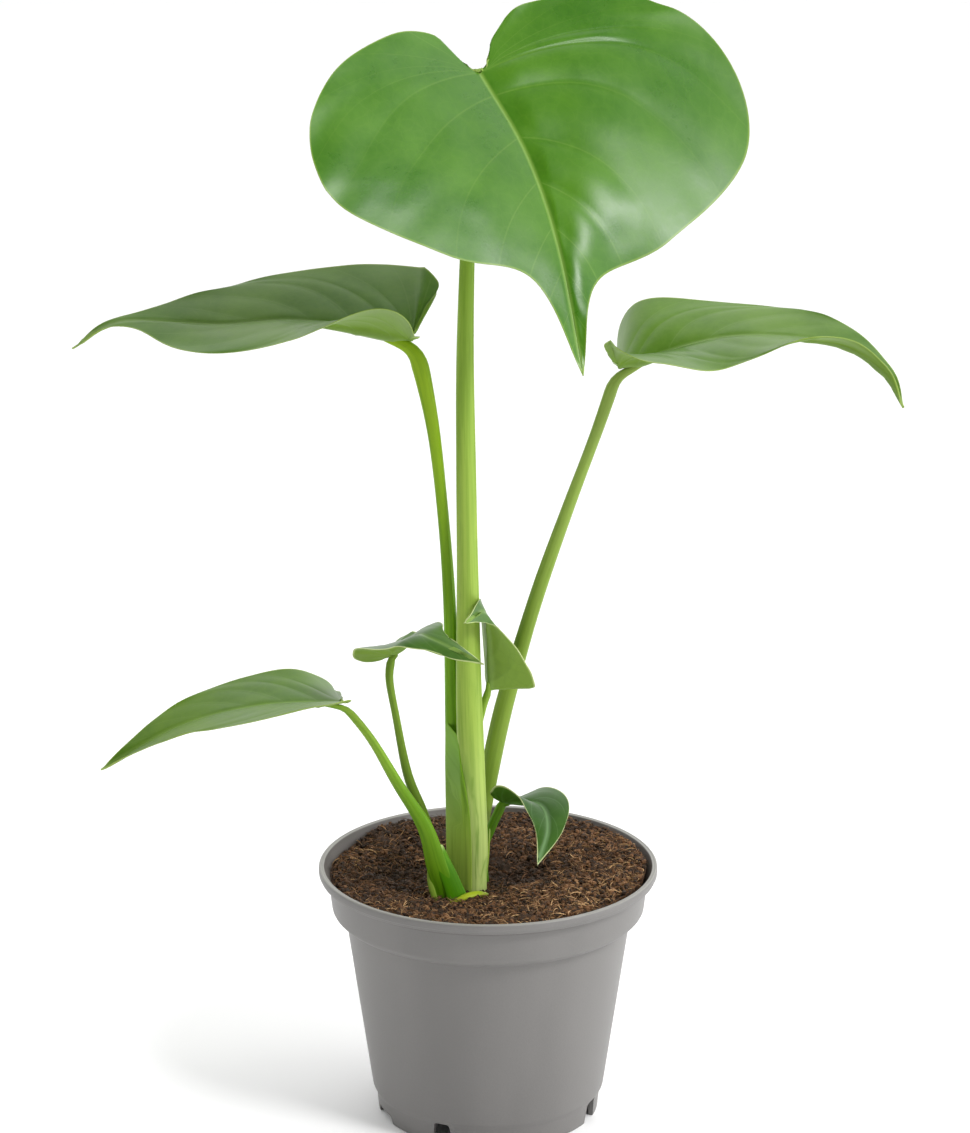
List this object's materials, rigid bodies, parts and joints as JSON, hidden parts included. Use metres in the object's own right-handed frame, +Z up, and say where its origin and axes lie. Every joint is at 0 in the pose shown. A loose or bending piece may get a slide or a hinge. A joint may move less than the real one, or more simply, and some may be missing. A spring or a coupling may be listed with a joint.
{
  "type": "potted swiss cheese plant",
  "caption": "Young swiss cheese plant with heart-shaped leaves on long stalks, growing in soil in a round tapered nursery pot that stands on a flat surface.",
  "frame": {"origin": "middle of the part's box on the resting plane, at the foot of the pot's axis", "axes": "+Z up along the pot's axis, which is the longest way; +X to the right of the front view, along the two long side leaves; +Y to the back, the narrowest way, as wide as the pot's lip"},
  "size_m": [0.283, 0.12, 0.3961],
  "materials": {
    "pot_plastic": "moulded grey polypropylene, satin",
    "soil": "moist peat and coir fibre, rough",
    "root": "pale fibrous root",
    "leaf": "waxy green leaf, satin upper side, paler matt underside",
    "stalk": "smooth pale green leaf stalk",
    "dry_sheath": "thin yellow-green sheath"
  },
  "bodies": {
    "root": {"pot": "pot_plastic", "potting_soil": "soil", "crown_and_roots": "root", "top_leaf_blade": "leaf", "left_leaf_blade": "leaf", "right_leaf_blade": "leaf", "low_left_leaf_blade": "leaf", "mid_left_leaf_blade": "leaf", "mid_right_leaf_blade": "leaf", "small_leaf_blade": "leaf", "top_leaf_stalk": "stalk", "left_leaf_stalk": "stalk", "right_leaf_stalk": "stalk", "low_left_leaf_stalk": "stalk", "mid_left_leaf_stalk": "stalk", "mid_right_leaf_stalk": "stalk", "small_leaf_stalk": "stalk", "base_sheath": "dry_sheath"}
  },
  "joints": []
}
